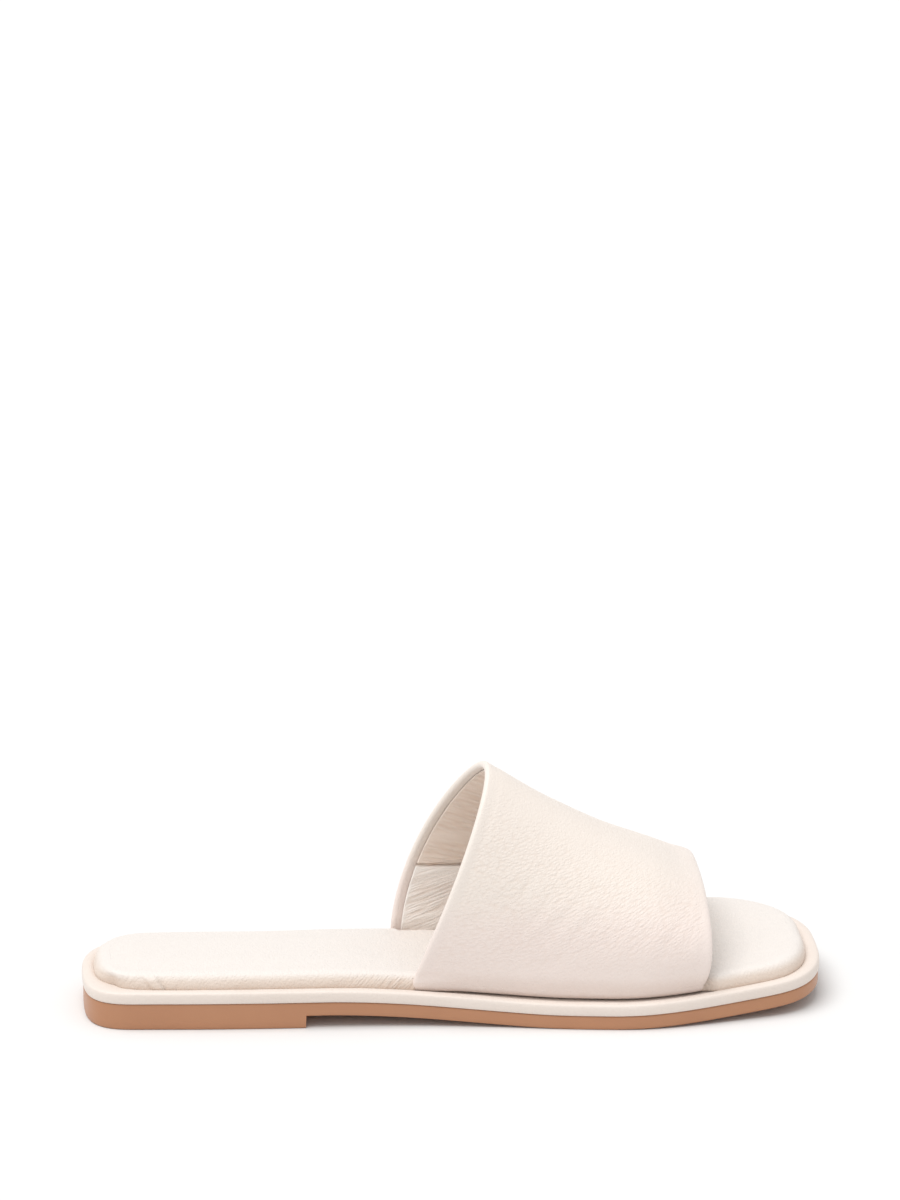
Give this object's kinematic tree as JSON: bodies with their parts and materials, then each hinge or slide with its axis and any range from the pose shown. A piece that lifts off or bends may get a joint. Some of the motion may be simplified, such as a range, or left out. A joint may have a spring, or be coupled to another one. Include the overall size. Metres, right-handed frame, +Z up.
{
  "type": "slide sandal",
  "caption": "Flat slide sandal, right shoe: one wide padded leather band over a cushioned footbed on a thin moulded outsole with a low heel.",
  "frame": {"origin": "on the floor, at the middle of the sole's length and width", "axes": "+X along the sole from heel to toe, +Y to the inner (medial) side of the foot, +Z up. The outer (lateral) side faces -Y."},
  "size_m": [0.26, 0.097, 0.0855],
  "materials": {
    "outsole_rubber": "matte tan moulded rubber",
    "midsole_leather": "smooth cream wrap, satin",
    "footbed_leather": "soft padded cream leather, satin",
    "band_leather": "fine-grained cream leather, satin"
  },
  "bodies": {
    "root": {"outsole": "outsole_rubber", "midsole": "midsole_leather", "footbed": "footbed_leather", "upper_band": "band_leather"}
  },
  "joints": []
}
